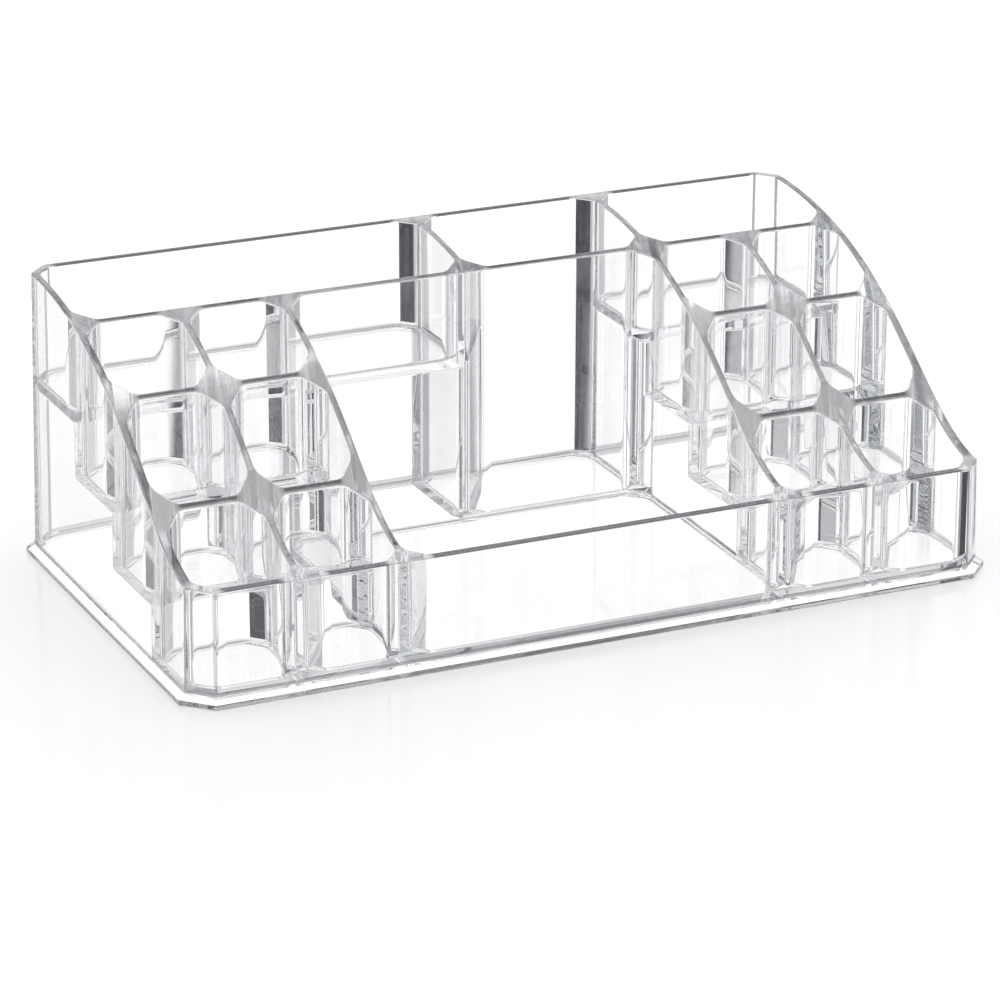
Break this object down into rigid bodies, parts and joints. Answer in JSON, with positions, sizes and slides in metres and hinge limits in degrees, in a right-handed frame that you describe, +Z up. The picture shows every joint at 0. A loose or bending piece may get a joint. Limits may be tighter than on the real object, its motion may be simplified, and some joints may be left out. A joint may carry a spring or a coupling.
{
  "type": "vanity organizer",
  "caption": "Clear moulded desktop organizer with stepped wells on both sides, a taller divided back row and an open tray behind a low front lip.",
  "frame": {"origin": "centre of the base, on the surface it stands on", "axes": "+X to the right across the width, +Y to the back, +Z up"},
  "size_m": [0.226, 0.127, 0.0776],
  "materials": {
    "clear_plastic": "polished, transparent"
  },
  "bodies": {
    "root": {"back_wall": "clear_plastic", "left_side_wall": "clear_plastic", "right_side_wall": "clear_plastic", "front_wall": "clear_plastic", "outer_corner_walls": "clear_plastic", "base_rim": "clear_plastic", "base_rim_corners": "clear_plastic", "tray_floor": "clear_plastic", "back_left_floor": "clear_plastic", "back_middle_floor": "clear_plastic", "back_right_floor": "clear_plastic", "left_upper_floor": "clear_plastic", "left_middle_floor": "clear_plastic", "left_lower_floor": "clear_plastic", "right_upper_floor": "clear_plastic", "right_middle_floor": "clear_plastic", "right_lower_floor": "clear_plastic", "left_back_riser": "clear_plastic", "tray_back_wall": "clear_plastic", "right_back_riser": "clear_plastic", "left_upper_riser": "clear_plastic", "left_lower_riser": "clear_plastic", "right_upper_riser": "clear_plastic", "right_lower_riser": "clear_plastic", "tray_left_wall": "clear_plastic", "tray_right_wall": "clear_plastic", "back_left_divider": "clear_plastic", "back_right_divider": "clear_plastic", "left_column_divider": "clear_plastic", "right_column_divider": "clear_plastic", "left_well_webs": "clear_plastic", "right_well_webs": "clear_plastic", "back_row_webs": "clear_plastic", "tray_webs": "clear_plastic"}
  },
  "joints": []
}
